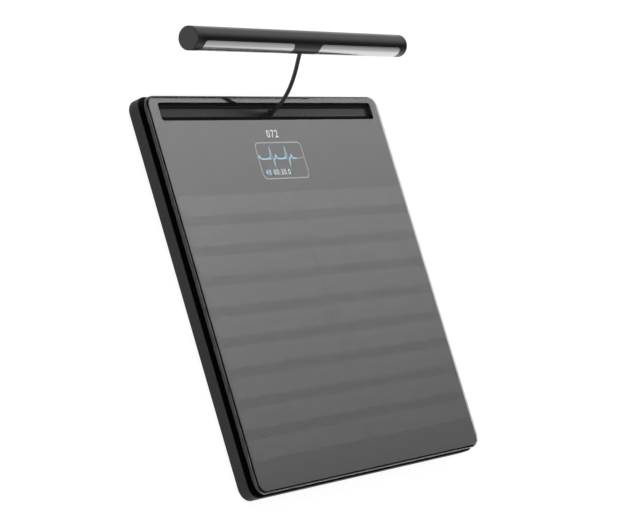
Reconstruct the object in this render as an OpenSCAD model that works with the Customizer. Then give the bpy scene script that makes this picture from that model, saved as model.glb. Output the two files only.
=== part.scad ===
// Smart bathroom scale: a square glass platform on a moulded base, with a
// bar-shaped hand electrode that rests in a trough behind the display and is
// tied to a spring-driven cord reel inside the base. Sizes are in millimetres.

/* [Base] */
// Outer side of the square base
base_side = 325; // [318:1:332]
// Corner radius of the base, seen from above
base_corner_r = 11.5; // [9:0.5:16]
// Height of the base shell
base_height = 10.4; // [10.4:0.2:12]
// Thickness of the base's side walls
base_wall = 4; // [3.6:0.2:5]
// Thickness of the base's floor
base_floor = 1.8; // [1.4:0.1:1.8]
// Thickness of the rim that turns inwards at the top of the walls
base_lip = 2; // [1.8:0.1:2]
// Radius of the rounded top edge of the base
base_top_edge_r = 0.8; // [0.4:0.1:1.5]
// Radius of the rounded bottom edge of the base
base_bottom_edge_r = 1.2; // [0.8:0.1:2]
// Height of the base's underside above the ground
ground_clearance = 9.5; // [8:0.5:11]

/* [Glass platform] */
// Thickness of the glass
glass_thick = 4; // [3.6:0.2:4.4]
// Distance from the base's outline in to the glass's outline
glass_inset = 1.5; // [0.5:0.1:3]
// Open gap between the base's rim and the glass
shadow_gap = 4.1; // [4.1:0.1:5]
// Width of the curved band along the glass's top edge
glass_edge_width = 2; // [1:0.2:3]
// Drop of the curved band along the glass's top edge
glass_edge_drop = 2; // [1:0.2:2.8]
// Distance from the base's outline in to the neck, at the front and sides
neck_inset = 7; // [6:0.5:8]
// Distance from the base's outline in to the neck, behind the trough
neck_inset_back = 4.5; // [4.4:0.1:5]
// Thickness of the neck's wall
neck_wall = 2; // [1.6:0.2:2.2]
// Thickness of the deck under the glass
deck_thick = 2; // [1.6:0.2:2.4]
// Thickness of the deck's ribs
rib_thick = 1.6; // [1.2:0.2:2.4]
// Depth of the deck's ribs
rib_depth = 3.2; // [2:0.2:3.4]

/* [Foot electrodes] */
// Width of one electrode bar
bar_width = 16.5; // [10:0.5:20]
// Distance from one bar to the next
bar_pitch = 24.5; // [22:0.5:25]
// First bar's centre, in front of the trough's centre line
bars_front = 78.4; // [74:0.2:90]
// Least bare glass in front of the last bar
bars_margin = 12; // [8:1:20]
// Bar end, measured in from the edge of the flat glass
bar_end_inset = 3; // [1:0.5:6]
// Gap between the left and the right half
bar_middle_gap = 3; // [2:0.5:8]
// Thickness of the electrode coating
bar_thick = 0.1; // [0.1:0.05:0.3]

/* [Handle] */
// Distance from the base's side in to the handle's end, with the handle docked
handle_end_inset = 15.5; // [15.2:0.1:24]
// Radius of the handle
handle_r = 9.6; // [9:0.1:9.8]
// Wall thickness of the handle's tube
handle_wall = 1.5; // [1.3:0.1:2]
// Length of each end cap that shows
cap_length = 6; // [4:0.5:8]
// Distance from the end cap to the hand electrode
grip_end_inset = 4.5; // [3:0.5:12]
// Distance from the handle's middle to each hand electrode
grip_start = 18.5; // [12:0.5:20]
// Half angle that a hand electrode wraps round the tube
grip_half_angle = 53; // [40:1:56]
// Thickness of a hand electrode
grip_thick = 0.5; // [0.4:0.1:0.7]
// Direction that the front hand electrodes face, in degrees above the rear
grip_front_angle = 174.5; // [165:0.5:185]
// Direction that the rear hand electrodes face
grip_back_angle = 291.7; // [285:0.1:300]
// Direction in which the cord leaves the handle
outlet_angle = 219; // [215:1:230]
// Cord outlet, measured along the handle from its middle
outlet_offset = 4.5; // [0:0.5:8]

/* [Trough] */
// Width of the trough's opening in the glass
slot_width = 15; // [14.8:0.1:16]
// Distance from the base's rear edge to the trough's centre line
slot_back = 15.35; // [15:0.05:16.5]
// Height of the docked handle's axis above the glass
dock_height = 6.5; // [6.3:0.1:7]
// Clearance between the docked handle and the trough's floor
dock_clearance = 0.4; // [0.3:0.05:0.6]
// Width of the trough's flat floor, between its two curved sides
trough_flat = 5.3; // [4:0.1:6]
// Clearance between each end of the handle and the trough
dock_end_clearance = 0.8; // [0.75:0.05:1.5]
// Corner radius of the trough's opening
slot_corner_r = 2.8; // [2:0.2:5]

/* [Pulled-out handle] */
// Handle's middle, to the side of the trough's middle
pull_x = -9.3; // [-12:0.1:0]
// Handle's axis, behind the trough's centre line
pull_y = 40.85; // [36:0.05:60]
// Handle's axis, above its docked place
pull_z = 45.5; // [42:0.5:60]

/* [Cord reel] */
// Radius of the cord
cord_r = 1.7; // [1.5:0.1:1.8]
// Place where the cord leaves the trough, across the platform
cord_exit_x = 2; // [1.5:0.5:2.5]
// Cord exit, in front of the trough's centre line
cord_exit_front = 0.45; // [0.2:0.05:0.7]
// Radius of the wound cord with the handle pulled out as shown
winding_r = 26.5; // [24:0.5:28]
// Radius of the drum's core
drum_core_r = 13; // [12:0.5:15]
// Radius of the drum's flanges
drum_flange_r = 30; // [29:0.5:32]
// Thickness of each drum flange
drum_flange = 0.8; // [0.6:0.1:1]
// Height of the whole drum
drum_height = 5.8; // [5.6:0.1:5.8]
// Radius of the fixed axle
axle_r = 3; // [2.5:0.1:3.5]
// Radial running clearance on the axle
axle_clearance = 0.05; // [0.02:0.01:0.09]
// Wall thickness of the reel's housing
housing_wall = 1.6; // [1.2:0.1:2]
// Reel's centre, in front of the trough's centre line
reel_front = 98.15; // [97.5:0.05:102]
// Turns of the reel's flat spring
spring_turns = 4; // [3:1:5]

/* [Feet] */
// Distance from the base's left and right sides in to the feet
foot_inset_x = 44.5; // [42:0.5:52]
// Distance from the base's front and rear sides in to the feet
foot_inset_y = 52.5; // [52:0.5:60]
// Radius of the rubber pad
pad_r = 18.5; // [16:0.5:19]
// Thickness of the rubber pad
pad_thick = 4.2; // [3.6:0.2:5]
// Radius of the cup that holds the pad
cup_r = 20.5; // [20.2:0.1:21]
// Height of the cup's lower edge above the ground
cup_edge_z = 2.6; // [2:0.2:3]
// Gap between the cup and the opening in the base
cup_gap = 0.8; // [0.5:0.1:1.2]
// Side of the square load cell
cell_side = 46; // [45:0.5:50]
// Thickness of the load cell's plate
cell_thick = 1.6; // [1.2:0.1:2]
// Width of the load cell's outer frame
cell_frame = 5.5; // [4:0.5:6]

/* [Display and boards] */
// Width of the display module
display_w = 76; // [70:1:90]
// Depth of the display module, front to back
display_d = 37; // [34:1:38]
// Thickness of the display module
display_thick = 3.4; // [2.6:0.2:4]
// Display's centre, in front of the trough's centre line
display_front = 42.75; // [41.5:0.25:44]
// Length of the main board
board_w = 100; // [80:1:110]
// Depth of the main board
board_d = 60; // [50:1:64]
// Thickness of the circuit boards
board_thick = 1.2; // [1:0.1:1.6]
// Length of the battery pack
battery_w = 74; // [60:1:80]
// Depth of the battery pack
battery_d = 52; // [40:1:60]
// Thickness of the battery pack
battery_thick = 7; // [5:0.5:7.4]

/* [Button and port] */
// Length of the side button
button_w = 12; // [8:0.5:14]
// Height of the side button
button_h = 3; // [2.4:0.1:3]
// Travel of the side button
button_travel = 0.6; // [0.4:0.05:0.8]
// Depth by which the button lies below the base's side
button_recess = 0.2; // [0.1:0.05:0.4]
// Clearance round the side button
button_clearance = 0.25; // [0.2:0.05:0.4]
// Side button's place along the base's side
button_y = -5; // [-12:1:0]
// Charging port's place along the base's side
port_y = 20; // [14:1:26]
// Width of the charging port's shell
port_w = 8.94; // [8.94:0.01:9]
// Height of the charging port's shell
port_h = 3.2; // [3.16:0.02:3.26]
// Length of the charging port's shell
port_length = 7.5; // [7:0.1:8]

/* [Hidden] */

$fn = 64;
// Sides of a circle inside a hull
hull_fn = 32;
// Small overlap that lets one solid run into another
eps = 0.02;

// Heights, counted from the ground
base_z = ground_clearance;
floor_z = base_z + base_floor;
rim_z = base_z + base_height;
glass_z = rim_z + shadow_gap;
glass_top = glass_z + glass_thick;
deck_z = glass_z - deck_thick;
dock_z = glass_top + dock_height;

// Outlines
base_half = base_side / 2;
inner_half = base_half - base_wall;
glass_half = base_half - glass_inset;
glass_corner_r = base_corner_r - 0.1;
neck_half = base_half - neck_inset;
neck_back = base_half - neck_inset_back;
// Radius that the neck's corners have beyond the base's, less the neck's inset
neck_corner_grow = 1;
neck_corner_r = base_corner_r - neck_inset + neck_corner_grow;
neck_clearance = 0.4;
ring_play = 0.1;
flat_half = glass_half - glass_edge_width;
// Chamfer along the glass's lower edge
glass_low_edge = 0.5;

// Trough
slot_y = base_half - slot_back;
handle_length = base_side - 2 * handle_end_inset;
slot_length = handle_length + 2 * dock_end_clearance;
display_y = slot_y - display_front;
trough_z = dock_z - handle_r - dock_clearance;
trough_depth = glass_top - trough_z;
// Radius of the curved sides, which rise from the flat floor to the rims of the opening
trough_side = (slot_width - trough_flat) / 2;
trough_side_r = (trough_side * trough_side + trough_depth * trough_depth) / (2 * trough_depth);
cradle_play = 0.2;
cradle_flange = 4;
cradle_flange_back = 1.2;
// Thickness of the trough under its floor
trough_floor = 2.5;
cradle_bottom_z = trough_z - trough_floor;
magnet_r = 4;
magnet_thick = 3;
magnet_play = 0.1;
magnet_end_inset = 27;
magnet_x = handle_length / 2 - magnet_end_inset;
magnet_boss_wall = 2;
// Bore that the grommet needs through the trough, with room at its top end
grommet_bore_length = 8;

// Handle, pulled out as far as the photograph shows
handle_y = slot_y + pull_y;
handle_z = dock_z + pull_z;
tube_half = handle_length / 2 - cap_length;
bore_r = handle_r - handle_wall;
spigot_length = 8;
spigot_play = 0.1;
grip_play = 0.05;
grip_corner_r = 3;
grip_length = tube_half - grip_end_inset - grip_start;
grip_width = 2 * handle_r * sin(grip_half_angle);
outlet_r = 2.7;

// Whole object, front to back: the origin lies under the middle of its box
back_y = handle_y + handle_r;
origin_y = (back_y - base_half) / 2;

// Cord: it leaves the trough through the grommet and turns to the reel
exit_y = slot_y - cord_exit_front;
cord_play = 0.3;
grommet_r = 3.65;
grommet_play = 0.05;
grommet_bore_r = cord_r + cord_play;
grommet_flange_r = 5;
grommet_flange = 1.5;
grommet_edge = 0.3;
grommet_rise = 0.1;
grommet_top_z = trough_z + grommet_rise;
cord_end_z = glass_z;

// Reel
reel_x = cord_exit_x + winding_r - cord_r;
reel_y = slot_y - reel_front;
housing_floor = 1.2;
drum_play = 0.4;
drum_z = floor_z + housing_floor + drum_play;
drum_top = drum_z + drum_height;
run_z = drum_z + drum_height / 2;
bend_r = 6;
bend_z = run_z + bend_r;
drum_gap = 2.4;
housing_r = drum_flange_r + drum_gap + housing_wall;
slip_thick = 1;
slip_r = 11;
slip_bore_play = 0.6;
brush_play = 0.3;
brush_thick = 0.4;
brush_z = drum_top + slip_thick + brush_play;
cover_z = brush_z + brush_thick;
cover_thick = 0.8;
hub_wall = 2;
hub_r = axle_r + hub_wall;
core_wall = 1.2;
pocket_r = drum_core_r - core_wall;
spring_band = 0.4;
spring_side_play = 0.3;
spring_hub_play = 0.6;
winding_side_play = 0.2;
winding_core_play = 0.05;
ear_reach = 3;
reel_screw_ring_r = housing_r + ear_reach;
ear_r = 3.4;

// Foot electrodes
bar_first_y = slot_y - bars_front;
bar_count = floor((bar_first_y + flat_half - bar_width / 2 - bars_margin) / bar_pitch) + 1;

// Feet and load cells
foot_x = base_half - foot_inset_x;
foot_y = base_half - foot_inset_y;
feet = [[-foot_x, -foot_y], [foot_x, -foot_y], [-foot_x, foot_y], [foot_x, foot_y]];
cup_opening_r = cup_r + cup_gap;
cell_seat_wall = 5.7;
cell_seat_r = max(cup_opening_r + cell_seat_wall, cell_side / 2);
cell_seat = 0.8;
cell_z = floor_z + cell_seat;
cell_post_r = 2.5;
cell_post_inset = 3.2;
cell_corner_r = 4;
tongue_r = 9;
tongue_arm = 12;
cup_play = 0.4;
cup_hub_r = 5;
cup_edge = 0.8;
pad_play = 0.1;
pad_edge = 0.8;
groove_r = 10;
groove_w = 3;
groove_depth = 0.8;
groove_slope = 0.6;

// Fasteners
screw_r = 1.5;
screw_play = 0.15;
screw_head_r = 3;
screw_head = 1.2;
screw_length = 9;
screw_sink = 0.3;
boss_r = 4;
reel_screw_angles = [50, 170, 290];
// Opening by which the cord enters the reel's housing
cord_gate = 2 * cord_r + 2;

// Boards and battery
inner_gap = 4;
board_reel_gap = 14.4;
board_x = reel_x - reel_screw_ring_r - ear_r - board_reel_gap - board_w / 2;
board_y = foot_y - cell_seat_r - inner_gap - board_d / 2;
board_stand = 2;
board_z = floor_z + board_stand;
board_corner_r = 2;
stand_r = 3;
stand_inset = 5;
// Processor, memory and connector on the main board: [x, y, width, depth, height]
board_chips = [[-30, -12, 18, 13, 2.4], [8, -6, 10, 10, 1.4], [30, 14, 12, 6, 3.6]];
battery_x = board_x;
battery_y = inner_gap + cell_seat_r - foot_y + battery_d / 2;
battery_corner_r = 4;
screw_mid_y = (board_y - board_d / 2 + battery_y + battery_d / 2) / 2;
screw_edge_inset = 9;
// Screws along the sides and the front, from the middle of the row that they stand in
screw_front_step = 46;
screw_rear_step = 44;
screw_rear_step_right = 64;
screw_side_step = 55;
screw_side = neck_half - screw_edge_inset;
base_screw_spots = [
    [-screw_side, screw_mid_y - screw_front_step], [-screw_side, screw_mid_y + screw_rear_step],
    [screw_side, screw_mid_y - screw_front_step], [screw_side, screw_mid_y + screw_rear_step_right],
    [-screw_side_step, -screw_side], [screw_side_step, -screw_side],
    [board_x, screw_mid_y], [-board_x, screw_mid_y]
];
side_board_margin = 10.5;
side_board_w = port_y - button_y + 2 * side_board_margin;
side_board_y = (port_y + button_y) / 2;
side_board_d = 16;
side_board_lift = 1.2;
side_board_z = floor_z + side_board_lift;
side_top_z = side_board_z + board_thick;
side_stand_inset = 4;
port_z = side_top_z + port_h / 2;
port_wall = 0.3;
port_recess = 0.6;
port_clearance = 0.2;
port_back = 1;
port_tongue_w = 6.6;
port_tongue = 0.7;
port_tongue_recess = 0.5;
switch_w = 6;
switch_h = 3.4;
switch_body = 3.9;
plunger_r = 1.5;
plunger_length = 1.3;
button_z = side_top_z + switch_h / 2;
button_flange = 1.4;
button_flange_grow = 0.8;
button_flange_play = 0.3;
button_back_x = inner_half - button_flange_play - button_flange;
plunger_end_x = button_back_x - button_travel;
side_board_play = 0.4;
side_board_x = plunger_end_x - side_board_play;
window_play = 2;
display_play = 0.3;
display_corner_r = 2;
rib_pitch = neck_half / 5;
rib_cut_play = 1;
handle_board_w = 11;
handle_board_end = 4;
handle_magnet_lift = 1.2;
cap_spigot_wall = 1.9;
cap_edge_r = 1;
relief_play = 0.1;
relief_inner_z = 4.4;
outlet_sink = 0.2;
guide_w = 10;
guide_back = 5;
guide_groove_play = 0.4;
brush_w = 2;
brush_length = 16;
brush_offset = 8;
reel_screw_length = 5;
reel_screw_head_r = 2.6;
reel_screw_head = 0.6;

// Shared shapes

module on_ground() translate([0, -origin_y, 0]) children();

module at_handle() translate([pull_x, handle_y, handle_z]) children();

module facing(angle) rotate([angle - 90, 0, 0]) children();

module along_x() rotate([0, 90, 0]) children();

module rounded_rect(w, d, r) {
    square([w, d - 2 * r], center = true);
    square([w - 2 * r, d], center = true);
    for (sx = [-1, 1], sy = [-1, 1])
        translate([sx * (w / 2 - r), sy * (d / 2 - r)]) circle(r);
}

module slab(w, d, r, z0, z1) translate([0, 0, z0]) linear_extrude(z1 - z0) rounded_rect(w, d, r);

module pipe(outer, inner, z0, z1) difference() {
    translate([0, 0, z0]) cylinder(r = outer, h = z1 - z0);
    translate([0, 0, z0 - 1]) cylinder(r = inner, h = z1 - z0 + 2);
}

module stadium(w, h) {
    square([w - h, h], center = true);
    for (s = [-1, 1]) translate([s * (w - h) / 2, 0]) circle(h / 2);
}

// Square block whose rim follows a profile of [inset, height] points
module rimmed_block(half, corner_r, profile) hull() for (sx = [-1, 1], sy = [-1, 1])
    translate([sx * (half - corner_r), sy * (half - corner_r), 0])
        rotate_extrude($fn = hull_fn) polygon(concat(
            [[0, profile[0][1]]],
            [for (p = profile) [corner_r - p[0], p[1]]],
            [[0, profile[len(profile) - 1][1]]]));

function arc_points(n, from, to) = [for (i = [0 : n]) from + (to - from) * i / n];

// Neck outline, which reaches further out behind the trough
module neck_outline(grow = 0) translate([0, (neck_back - neck_half) / 2])
    rounded_rect(2 * (neck_half + grow), neck_half + neck_back + 2 * grow, neck_corner_r + grow);

// Places of repeated pieces
module at_foot(i) translate([feet[i][0], feet[i][1], 0]) children();

module at_base_screws() for (p = base_screw_spots) translate([p[0], p[1], 0]) children();

module at_reel() translate([reel_x, reel_y, 0]) children();

module at_reel_screws() at_reel() for (a = reel_screw_angles)
    rotate([0, 0, a]) translate([reel_screw_ring_r, 0, 0]) children();

module at_board_stands() for (sx = [-1, 1], sy = [-1, 1])
    translate([board_x + sx * (board_w / 2 - stand_inset), board_y + sy * (board_d / 2 - stand_inset), 0])
        children();

module at_side_stands() for (s = [-1, 1])
    translate([side_board_x - side_board_d + side_stand_inset,
               side_board_y + s * (side_board_w / 2 - side_stand_inset), 0]) children();

// Base

module base_outside() rimmed_block(base_half, base_corner_r, concat(
    [for (a = arc_points(4, 0, 90))
        [base_bottom_edge_r * (1 - sin(a)), base_z + base_bottom_edge_r * (1 - cos(a))]],
    [for (a = arc_points(6, 0, 90))
        [base_top_edge_r * (1 - cos(a)), rim_z - base_top_edge_r * (1 - sin(a))]]));

module base_shell() color("#1b1c1e") on_ground() difference() {
    union() {
        difference() {
            base_outside();
            slab(2 * inner_half, 2 * inner_half, base_corner_r - base_wall, floor_z, rim_z - base_lip);
            translate([0, 0, rim_z - base_lip - eps]) linear_extrude(base_lip + 1)
                neck_outline(neck_clearance);
        }
        for (i = [0 : 3]) at_foot(i)
            pipe(cup_opening_r + cell_seat_wall, cup_opening_r, floor_z - eps, cell_z);
        at_board_stands() translate([0, 0, floor_z - eps]) cylinder(r = stand_r, h = board_stand + eps);
        at_side_stands() translate([0, 0, floor_z - eps])
            cylinder(r = stand_r, h = side_board_z - floor_z + eps);
    }
    for (i = [0 : 3]) at_foot(i)
        translate([0, 0, base_z - 1]) cylinder(r = cup_opening_r, h = cell_z - base_z + 2);
    at_base_screws() {
        translate([0, 0, base_z - 1]) cylinder(r = screw_r + screw_play, h = base_floor + 2);
        translate([0, 0, base_z - 1]) cylinder(r = screw_head_r + screw_play, h = screw_head + screw_sink + 1);
    }
    translate([inner_half - 1, port_y, port_z]) along_x() rotate([0, 0, 90])
        linear_extrude(base_wall + 2) stadium(port_w + 2 * port_clearance, port_h + 2 * port_clearance);
    translate([inner_half - 1, button_y, button_z]) along_x() rotate([0, 0, 90])
        linear_extrude(base_wall + 2) stadium(button_w + 2 * button_clearance, button_h + 2 * button_clearance);
}

// Neck ring and, inside it, the frame that carries the glass: a ribbed deck with its screw bosses

module deck_cutouts(grow = 0) {
    translate([0, display_y])
        square([display_w + 2 * (display_play + grow), display_d + 2 * (display_play + grow)], center = true);
    cradle_opening(grow);
}

module cradle_opening(grow = 0) {
    front = slot_y - slot_width / 2 - cradle_flange - display_play - grow;
    half = slot_length / 2 + cradle_flange + display_play + grow;
    translate([-half, front]) square([2 * half, neck_back - front]);
}

module rib_grid() difference() {
    intersection() {
        neck_outline(-neck_wall - ring_play);
        union() {
            for (i = [-4 : 4]) translate([i * rib_pitch - rib_thick / 2, -neck_half])
                square([rib_thick, neck_half + neck_back]);
            for (i = [-4 : 3]) translate([-neck_half, i * rib_pitch - rib_thick / 2])
                square([2 * neck_half, rib_thick]);
        }
    }
    deck_cutouts(rib_cut_play);
    at_reel() circle(reel_screw_ring_r + ear_r + rib_cut_play);
}

module neck_ring() color("#141416") on_ground() difference() {
    translate([0, 0, floor_z]) linear_extrude(glass_z - floor_z) difference() {
        neck_outline();
        neck_outline(-neck_wall);
    }
    translate([neck_half - neck_wall - 2, side_board_y - side_board_w / 2 - window_play, floor_z - 1])
        cube([neck_wall + 4, side_board_w + 2 * window_play, rim_z - base_lip - floor_z + 1]);
}

module support_frame() color("#1a1a1c") on_ground() difference() {
    union() {
        translate([0, 0, deck_z]) linear_extrude(deck_thick) difference() {
            neck_outline(-neck_wall - ring_play);
            deck_cutouts();
        }
        translate([0, 0, deck_z - rib_depth]) linear_extrude(rib_depth + eps) rib_grid();
        at_base_screws() translate([0, 0, floor_z]) cylinder(r = boss_r, h = deck_z - floor_z + eps);
        for (i = [0 : 3], sx = [-1, 1], sy = [-1, 1]) at_foot(i)
            translate([sx * (cell_side / 2 - cell_post_inset), sy * (cell_side / 2 - cell_post_inset),
                       cell_z + cell_thick])
                cylinder(r = cell_post_r, h = deck_z - cell_z - cell_thick + eps);
    }
    at_base_screws() translate([0, 0, floor_z - 1]) cylinder(r = screw_r + screw_play, h = screw_length + 1);
}

// Glass and its electrode coating

module slot_outline(play = 0) rounded_rect(slot_length - 2 * play, slot_width - 2 * play, slot_corner_r - play);

module glass_plate() color("#6f7072") on_ground() difference() {
    rimmed_block(glass_half, glass_corner_r, concat(
        [[glass_low_edge, glass_z], [0, glass_z + glass_low_edge]],
        [for (a = arc_points(6, 0, 90))
            [glass_edge_width * (1 - cos(a)), glass_top - glass_edge_drop * (1 - sin(a))]]));
    translate([0, slot_y, glass_z - 1]) linear_extrude(glass_thick + 2) slot_outline();
}

module electrode_bars() {
    length = flat_half - bar_end_inset - bar_middle_gap / 2;
    for (i = [0 : bar_count - 1])
        translate([bar_middle_gap / 2, bar_first_y - i * bar_pitch - bar_width / 2, glass_top])
            cube([length, bar_width, bar_thick]);
}

module foot_electrodes_left() color("#8e8f91") on_ground() mirror([1, 0, 0]) electrode_bars();

module foot_electrodes_right() color("#8e8f91") on_ground() electrode_bars();

// Trough for the handle

module trough_channel() translate([-slot_length / 2 - 1, slot_y, trough_z + trough_side_r])
    rotate([90, 0, 90]) linear_extrude(slot_length + 2)
        stadium(trough_flat + 2 * trough_side_r, 2 * trough_side_r);

module handle_cradle() color("#3a3b3d") on_ground() difference() {
    union() {
        translate([0, slot_y, cradle_bottom_z]) linear_extrude(glass_top - cradle_bottom_z)
            slot_outline(cradle_play);
        translate([-slot_length / 2 - cradle_flange, slot_y - slot_width / 2 - cradle_flange, cradle_bottom_z])
            cube([slot_length + 2 * cradle_flange, slot_width + cradle_flange + cradle_flange_back,
                  glass_z - cradle_bottom_z]);
        for (s = [-1, 1]) translate([s * magnet_x, slot_y, cradle_bottom_z - magnet_thick])
            cylinder(r = magnet_r + magnet_play + magnet_boss_wall, h = magnet_thick + eps);
    }
    trough_channel();
    for (s = [-1, 1]) translate([s * magnet_x, slot_y, cradle_bottom_z - magnet_thick - 1])
        cylinder(r = magnet_r + magnet_play, h = magnet_thick + 1);
    translate([cord_exit_x, exit_y, cradle_bottom_z - 1])
        cylinder(r = grommet_r + grommet_play, h = grommet_bore_length);
}

module dock_magnets() color("#b9babd") on_ground() for (s = [-1, 1])
    translate([s * magnet_x, slot_y, cradle_bottom_z - magnet_thick]) cylinder(r = magnet_r, h = magnet_thick);

module cord_grommet() color("#0e0e0f") on_ground() translate([cord_exit_x, exit_y, 0]) rotate_extrude()
    polygon([
        [grommet_bore_r, cradle_bottom_z - grommet_flange],
        [grommet_flange_r, cradle_bottom_z - grommet_flange],
        [grommet_flange_r, cradle_bottom_z],
        [grommet_r, cradle_bottom_z],
        [grommet_r, grommet_top_z - grommet_edge],
        [grommet_r - grommet_edge, grommet_top_z],
        [grommet_bore_r + 2 * grommet_edge, grommet_top_z],
        [grommet_bore_r, grommet_top_z - 2 * grommet_edge]
    ]);

// Block with a bent channel that turns the cord from upright to level
module cord_guide() color("#2a2b2d") on_ground() difference() {
    translate([cord_exit_x - guide_w / 2, exit_y - bend_r, floor_z])
        cube([guide_w, bend_r + guide_back, bend_z - floor_z - 2]);
    translate([cord_exit_x, exit_y - bend_r, bend_z]) along_x()
        rotate_extrude() translate([bend_r, 0]) circle(cord_r + guide_groove_play);
}

// Reel

module screw_ear() {
    translate([housing_r - housing_wall, -ear_r])
        square([reel_screw_ring_r - housing_r + housing_wall, 2 * ear_r]);
    translate([reel_screw_ring_r, 0]) circle(ear_r);
}

module reel_outline() difference() {
    union() {
        circle(housing_r);
        for (a = reel_screw_angles) rotate(a) screw_ear();
    }
    for (a = reel_screw_angles) rotate(a) translate([reel_screw_ring_r, 0]) circle(screw_r + screw_play);
}

module reel_housing() color("#2e2f31") on_ground() {
    difference() {
        at_reel() translate([0, 0, floor_z]) linear_extrude(cover_z - floor_z) reel_outline();
        at_reel() translate([0, 0, floor_z + housing_floor])
            cylinder(r = housing_r - housing_wall, h = cover_z - floor_z);
        translate([cord_exit_x - cord_gate / 2, reel_y, run_z - cord_gate / 2])
            cube([cord_gate, housing_r + ear_r, cord_gate]);
    }
    at_reel() translate([0, 0, floor_z + eps])
        cylinder(r = axle_r, h = drum_top + slip_thick / 2 - floor_z);
}

module reel_cover() color("#2e2f31") on_ground() at_reel() translate([0, 0, cover_z])
    linear_extrude(cover_thick) reel_outline();

module reel_screws() color("#9a9b9e") on_ground() at_reel_screws() {
    translate([0, 0, cover_z - reel_screw_length])
        cylinder(r = screw_r, h = reel_screw_length + cover_thick + eps);
    translate([0, 0, cover_z + cover_thick]) cylinder(r = reel_screw_head_r, h = reel_screw_head);
}

module brush_contacts() color("#c59a4a") on_ground() at_reel() for (s = [-1, 1])
    translate([s * brush_offset - brush_w / 2, -brush_length / 2, brush_z])
        cube([brush_w, brush_length, brush_thick]);

module reel_drum() color("#c9cacc") on_ground() at_reel() {
    pipe(drum_flange_r, axle_r + axle_clearance, drum_z, drum_z + drum_flange);
    pipe(drum_core_r, pocket_r, drum_z + drum_flange - eps, drum_top - drum_flange + eps);
    pipe(hub_r, axle_r + axle_clearance, drum_z + drum_flange - eps, drum_top - drum_flange + eps);
    pipe(drum_flange_r, axle_r + axle_clearance, drum_top - drum_flange, drum_top);
}

// Flat spring: a steel band that winds outwards in a plain spiral
module reel_spring() color("#8d9094") on_ground() at_reel() {
    steps = 20 * spring_turns;
    inner = hub_r + spring_hub_play;
    outer = pocket_r - 2 * spring_band;
    outline = [for (i = [0 : steps]) inner + (outer - inner) * i / steps];
    turn = 360 * spring_turns / steps;
    translate([0, 0, drum_z + drum_flange + spring_side_play])
        linear_extrude(drum_height - 2 * (drum_flange + spring_side_play)) polygon(concat(
            [for (i = [0 : steps]) outline[i] * [cos(turn * i), sin(turn * i)]],
            [for (i = [steps : -1 : 0]) (outline[i] + spring_band) * [cos(turn * i), sin(turn * i)]]));
}

module slip_ring() color("#c59a4a") on_ground() at_reel()
    pipe(slip_r, axle_r + slip_bore_play, drum_top, drum_top + slip_thick);

module cord_winding() color("#151516") on_ground() at_reel()
    pipe(winding_r, drum_core_r + winding_core_play, drum_z + drum_flange + winding_side_play,
         drum_top - drum_flange - winding_side_play);

// Display, boards, battery

module display_module() color("#222326") on_ground() translate([0, display_y, 0])
    slab(display_w, display_d, display_corner_r, glass_z - display_thick, glass_z);

module main_board() color("#1f5b3a") on_ground() translate([board_x, board_y, board_z]) {
    linear_extrude(board_thick) rounded_rect(board_w, board_d, board_corner_r);
    for (c = board_chips) translate([c[0], c[1], board_thick - eps]) cube([c[2], c[3], c[4]]);
}

module battery_pack() color("#4a5a78") on_ground() translate([battery_x, battery_y, 0])
    slab(battery_w, battery_d, battery_corner_r, floor_z, floor_z + battery_thick);

module side_board() color("#1f5b3a") on_ground()
    translate([side_board_x - side_board_d, side_board_y - side_board_w / 2, side_board_z])
        cube([side_board_d, side_board_w, board_thick]);

module usb_port() color("#b4b6ba") on_ground()
    translate([base_half - port_recess - port_length, port_y, port_z]) {
        along_x() rotate([0, 0, 90]) difference() {
            linear_extrude(port_length) stadium(port_w, port_h);
            translate([0, 0, port_back]) linear_extrude(port_length)
                stadium(port_w - 2 * port_wall, port_h - 2 * port_wall);
        }
        translate([port_back / 2, -port_tongue_w / 2, -port_tongue / 2])
            cube([port_length - port_back / 2 - port_tongue_recess - port_back / 2, port_tongue_w, port_tongue]);
    }

module button_switch() color("#35363a") on_ground() {
    translate([plunger_end_x - plunger_length - switch_body, button_y - switch_w / 2, side_top_z])
        cube([switch_body, switch_w, switch_h]);
    translate([plunger_end_x - plunger_length - eps, button_y, button_z]) along_x()
        cylinder(r = plunger_r, h = plunger_length + eps);
}

module side_button() color("#2b2c2f") on_ground() translate([button_back_x, button_y, button_z]) along_x()
    rotate([0, 0, 90]) {
        linear_extrude(button_flange)
            stadium(button_w + 2 * button_flange_grow, button_h + 2 * button_flange_grow);
        linear_extrude(base_half - button_recess - button_back_x) stadium(button_w, button_h);
    }

// Feet

module load_cell(i) color("#a9abae") on_ground() at_foot(i) translate([0, 0, cell_z])
    linear_extrude(cell_thick) {
        difference() {
            rounded_rect(cell_side, cell_side, cell_corner_r);
            rounded_rect(cell_side - 2 * cell_frame, cell_side - 2 * cell_frame, cell_corner_r / 2);
        }
        circle(tongue_r);
        translate([-tongue_arm / 2, 0]) square([tongue_arm, cell_side / 2 - cell_frame / 2]);
    }

module foot_cup(i) color("#26272a") on_ground() at_foot(i) difference() {
    rotate_extrude() polygon([
        [0, cup_edge_z], [cup_r - cup_edge, cup_edge_z], [cup_r, cup_edge_z + cup_edge],
        [cup_r, cell_z - cup_play - cup_edge], [cup_r - cup_edge, cell_z - cup_play],
        [cup_hub_r, cell_z - cup_play], [cup_hub_r, cell_z], [0, cell_z]
    ]);
    translate([0, 0, cup_edge_z - 1]) cylinder(r = pad_r + pad_play, h = pad_thick - cup_edge_z + 1);
}

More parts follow.
